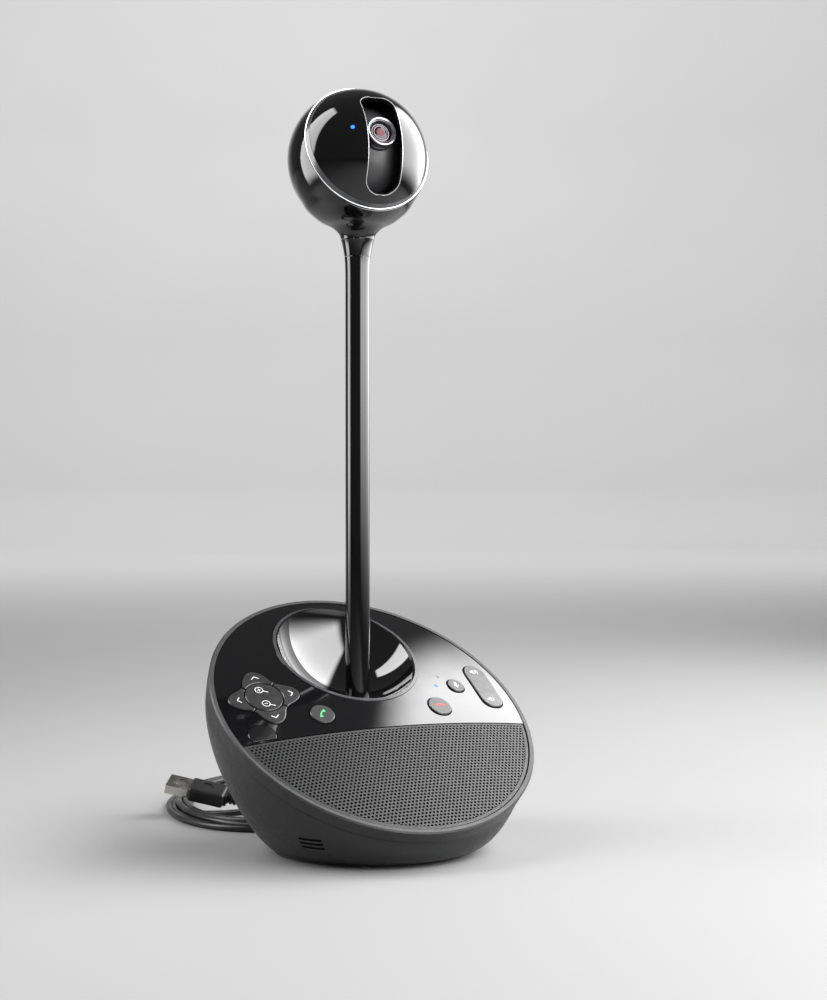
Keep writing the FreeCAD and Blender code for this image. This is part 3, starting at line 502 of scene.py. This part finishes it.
def stage_plane():
    me = bpy.data.meshes.new("stage_floor")
    vs, fs = [], []
    prof = [(-3.0, 0.0), (3.2, 0.0), (3.9, 0.12), (4.4, 0.5), (4.6, 1.1), (4.65, 4.0)]
    az = math.radians(-31.2)
    fwd = Vector((-math.sin(az), math.cos(az), 0))
    rt = Vector((math.cos(az), math.sin(az), 0))
    for d, z in prof:
        for s in (-6.0, 6.0):
            p = fwd * d + rt * s
            vs.append((p.x, p.y, z))
    for k in range(len(prof) - 1):
        fs.append((2 * k, 2 * k + 1, 2 * k + 3, 2 * k + 2))
    me.from_pydata(vs, [], fs)
    me.polygons.foreach_set("use_smooth", [True] * len(fs))
    me.materials.append(mat("stage_grey", (0.32, 0.32, 0.32), 0.6, nscale=3, var=0.01))
    o = bpy.data.objects.new("stage_floor", me)
    sc.collection.objects.link(o)


stage_plane()


def area(name, loc, target, size, size_y, power, col=(1, 1, 1)):
    li = bpy.data.lights.new(name, "AREA")
    li.shape = "RECTANGLE"
    li.size, li.size_y = size, size_y
    li.energy = power
    li.color = col
    o = bpy.data.objects.new(name, li)
    o.location = loc
    o.rotation_euler = (Vector(target) - Vector(loc)).to_track_quat("-Z", "Y").to_euler()
    sc.collection.objects.link(o)
    return o


az = math.radians(-31.2)
FWD = Vector((-math.sin(az), math.cos(az), 0))
RGT = Vector((math.cos(az), math.sin(az), 0))


def at(r, f, z):
    p = RGT * r + FWD * f
    return (p.x, p.y, z)


def soft_edges(o, lo=0.0, hi=0.35, across=False):
    """Fade a softbox towards its edges so that its reflection is a gradient."""
    li = o.data
    li.use_nodes = True
    nt = li.node_tree
    em = nt.nodes["Emission"]
    geo = nt.nodes.new("ShaderNodeNewGeometry")
    sep = nt.nodes.new("ShaderNodeSeparateXYZ")
    nt.links.new(geo.outputs["Parametric"], sep.inputs["Vector"])
    prod = None
    for k in ((0, 1) if not across else (across - 1,)):
        a1 = nt.nodes.new("ShaderNodeMath")
        a1.operation = "PINGPONG"
        a1.inputs[1].default_value = 0.5
        nt.links.new(sep.outputs[k], a1.inputs[0])
        mr = nt.nodes.new("ShaderNodeMapRange")
        mr.interpolation_type = "SMOOTHSTEP"
        mr.inputs["From Min"].default_value = lo
        mr.inputs["From Max"].default_value = hi
        nt.links.new(a1.outputs[0], mr.inputs["Value"])
        if prod is None:
            prod = mr.outputs["Result"]
        else:
            m2 = nt.nodes.new("ShaderNodeMath")
            m2.operation = "MULTIPLY"
            nt.links.new(prod, m2.inputs[0])
            nt.links.new(mr.outputs["Result"], m2.inputs[1])
            prod = m2.outputs[0]
    nt.links.new(prod, em.inputs["Strength"])
    return o


soft_edges(area("soft_right", at(0.55, -0.1, 0.68), at(0.0, -0.1, 0.66), 2.3, 1.3, 72), 0.0, 0.22)
soft_edges(area("soft_left", at(-0.46, -0.02, 0.66), at(0.0, 0.0, 0.62), 0.3, 1.25, 8.5), 0.0, 0.12)
area("wall_wash", at(0.0, 2.3, 2.3), at(0.0, 4.5, 0.2), 5.0, 1.2, 190)

w = bpy.data.worlds.new("studio")
w.use_nodes = True
w.node_tree.nodes["Background"].inputs["Color"].default_value = (0.5, 0.5, 0.5, 1)
w.node_tree.nodes["Background"].inputs["Strength"].default_value = 0.2
sc.world = w
sc.view_settings.view_transform = "Standard"

cam = bpy.data.cameras.new("view")
cam.lens = 72.007
cam.sensor_width = 36.0
cam.sensor_fit = "AUTO"
cam.clip_start = 0.01
cam.clip_end = 30
co = bpy.data.objects.new("view", cam)
co.location = (-0.45296, -0.78369, 0.17354)
co.rotation_euler = Vector((0.51819, 0.85509, -0.01728)).to_track_quat("-Z", "Y").to_euler()
sc.collection.objects.link(co)
sc.camera = co
